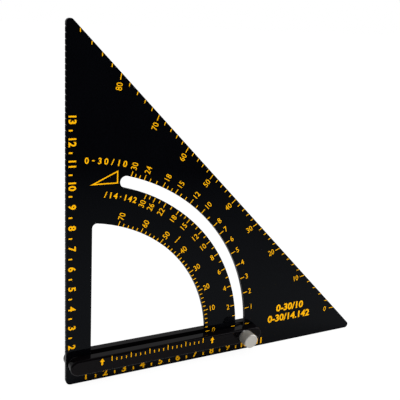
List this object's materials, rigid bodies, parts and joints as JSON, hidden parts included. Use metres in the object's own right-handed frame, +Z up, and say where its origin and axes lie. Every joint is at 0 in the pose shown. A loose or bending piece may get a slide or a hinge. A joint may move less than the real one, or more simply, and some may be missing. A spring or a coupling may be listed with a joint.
{
  "type": "rafter square",
  "caption": "Triangular rafter square with a quarter-round window, an arc slot, a notched plumb edge and a swinging two-bar fence locked by a knurled knob.",
  "frame": {"origin": "on the seat edge (the lower short edge that the square stands on), straight under the fence's pivot, in the middle of the blade's thickness", "axes": "+Z up the plumb edge, +X along the seat edge from the square corner, +Y from the printed face to the back"},
  "size_m": [0.1726, 0.0193, 0.1726],
  "materials": {
    "blade_coat": "gloss",
    "bar_coat": "satin",
    "pin_steel": "satin",
    "washer_steel": "satin",
    "knob_plating": "satin",
    "insert_brass": "satin",
    "bushing_plastic": "matte"
  },
  "bodies": {
    "square": {"blade": "blade_coat"},
    "fence": {"front_fence_bar": "bar_coat", "rear_fence_bar": "bar_coat", "pivot_pin": "pin_steel", "pivot_bushing": "bushing_plastic", "slot_bushing": "bushing_plastic", "pivot_rear_washer": "bushing_plastic", "slot_rear_washer": "bushing_plastic", "thread_insert": "insert_brass"},
    "lock_slide": {"lock_washer": "washer_steel"},
    "lock_screw": {"lock_knob": "knob_plating", "lock_stud": "pin_steel"}
  },
  "joints": [
    {"name": "fence_pivot", "type": "hinge", "parent": "square", "child": "fence", "pos_m": [0, 0, 0.011], "axis": [0, -1, 0], "range_deg": [0, 75]},
    {"name": "lock_travel", "type": "slide", "parent": "fence", "child": "lock_slide", "axis": [0, -1, 0], "range_m": [0, 0.0014]},
    {"name": "lock_turn", "type": "hinge", "parent": "lock_slide", "child": "lock_screw", "pos_m": [0.0921, 0, 0.011], "axis": [0, -1, 0], "range_deg": [0, 720.1]}
  ],
  "couplings": [
    {"joint": "lock_turn", "follows": "lock_travel", "rad_per_m": 8976}
  ]
}
